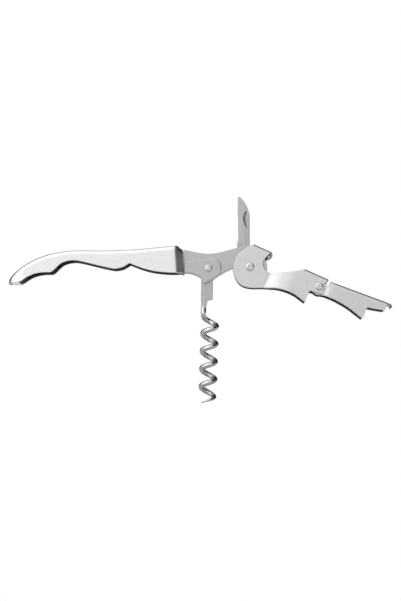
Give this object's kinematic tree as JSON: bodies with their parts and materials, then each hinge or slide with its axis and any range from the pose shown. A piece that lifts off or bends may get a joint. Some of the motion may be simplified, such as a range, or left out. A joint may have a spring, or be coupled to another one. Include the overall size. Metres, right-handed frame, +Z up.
{
  "type": "waiters corkscrew",
  "caption": "Folding all-steel waiters corkscrew: sheet handle, riveted frame, worm, serrated foil blade and a two-step hinged lever with a bottle opener.",
  "frame": {"origin": "middle of the bottom of the bounding box, which is 4.09 mm to -X of the worm pivot and level with the worm's point", "axes": "+X runs from the handle towards the lever, +Z points up along the open blade, the worm points to -Z, and Y is the thickness; the plane y = 0 is the middle of the frame"},
  "size_m": [0.178, 0.014, 0.0968],
  "materials": {
    "handle": "brushed lengthwise, bright",
    "frame": "fine matt",
    "lever": "brushed across, satin",
    "blade": "ground lengthwise, satin",
    "worm": "polished",
    "rivet": "polished domes",
    "washer": "plain"
  },
  "bodies": {
    "frame": {"handle_shell": "handle", "frame_plate_near": "frame", "frame_plate_far": "frame", "frame_spacer": "frame", "spacer_rivet_rear": "rivet", "spacer_rivet_front": "rivet", "bolster_near": "frame", "bolster_far": "frame", "worm_rivet": "rivet", "worm_washer_near": "washer", "worm_washer_far": "washer", "lever_rivet": "rivet", "lever_washer_near": "washer", "lever_washer_far": "washer", "blade_pin": "rivet", "blade_spacer_near": "washer", "blade_spacer_far": "washer"},
    "worm": {"worm": "worm"},
    "blade": {"blade": "blade"},
    "lever_upper": {"lever_upper": "lever", "hinge_rivet": "rivet", "hinge_washer_near": "washer", "hinge_washer_far": "washer"},
    "lever_lower": {"lever_lower": "lever"}
  },
  "joints": [
    {"name": "lever_fold", "type": "hinge", "parent": "frame", "child": "lever_upper", "pos_m": [0.02339, 0, 0.06343], "axis": [0, 1, 0], "range_deg": [0, 152]},
    {"name": "lever_tip", "type": "hinge", "parent": "lever_upper", "child": "lever_lower", "pos_m": [0.05539, 0, 0.05393], "axis": [0, -1, 0], "range_deg": [0, 14]},
    {"name": "worm_fold", "type": "hinge", "parent": "frame", "child": "worm", "pos_m": [0.00409, 0, 0.06283], "axis": [0, 1, 0], "range_deg": [0, 89]},
    {"name": "blade_fold", "type": "hinge", "parent": "frame", "child": "blade", "pos_m": [0.02109, 0, 0.06953], "axis": [0, -1, 0], "range_deg": [0, 88]}
  ],
  "couplings": [
    {"joint": "worm_fold", "follows": "lever_fold", "ratio": 0.5855}
  ]
}
